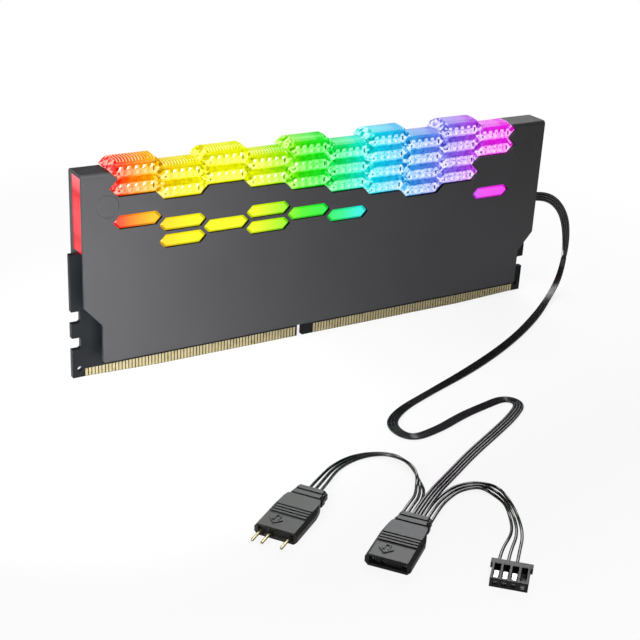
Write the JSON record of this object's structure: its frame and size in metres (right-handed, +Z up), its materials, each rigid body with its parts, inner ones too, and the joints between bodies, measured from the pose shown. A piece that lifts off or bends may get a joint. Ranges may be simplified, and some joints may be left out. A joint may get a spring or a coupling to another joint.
{
  "type": "lit memory module heat spreader",
  "caption": "Dark anodised heat spreader on a memory module, with a stepped honeycomb light bar, nine lit windows and a flat lead with three plugs.",
  "frame": {"origin": "middle of the module's contact edge, in the board's mid plane at its lowest line", "axes": "+X along the module towards the end the lead leaves from, +Y through its thickness away from the front cover, +Z up from the contact edge to the light bar"},
  "size_m": [0.1475, 0.1192, 0.0527],
  "materials": {
    "anodised_cover": "fine matte anodising",
    "crystal_bar": "clear moulded acrylic, lit from inside in a rainbow",
    "milky_diffuser": "milky moulded acrylic, lit from inside",
    "red_diffuser": "milky moulded acrylic, lit red",
    "circuit_board": "black solder mask",
    "gold_contact": "gold plating",
    "chip_package": "moulded epoxy",
    "thermal_pad": "soft silicone pad",
    "steel_fastener": "black zinc plating",
    "led_package": "white light package",
    "lead_insulation": "satin vinyl",
    "plug_shell": "fine moulded texture",
    "outlet_rubber": "matte rubber",
    "tin_contact": "bright tin plating"
  },
  "bodies": {
    "root": {"front_cover": "anodised_cover", "rear_cover": "anodised_cover", "light_bar": "crystal_bar", "front_window_diffuser": "milky_diffuser", "rear_window_diffuser": "milky_diffuser", "left_end_window": "red_diffuser", "right_end_window": "red_diffuser", "led_strip": "circuit_board", "led_chips": "led_package", "cover_studs": "anodised_cover", "rear_screws": "steel_fastener", "memory_board": "circuit_board", "front_contacts": "gold_contact", "rear_contacts": "gold_contact", "front_memory_chips": "chip_package", "rear_memory_chips": "chip_package", "spd_chip": "chip_package", "front_thermal_pad": "thermal_pad", "rear_thermal_pad": "thermal_pad", "lead_outlet": "outlet_rubber", "main_lead": "lead_insulation", "male_branch": "lead_insulation", "small_branch": "lead_insulation", "male_connector": "plug_shell", "male_pins": "gold_contact", "female_connector": "plug_shell", "female_contacts": "tin_contact", "small_connector": "plug_shell", "small_crimps": "tin_contact"}
  },
  "joints": []
}
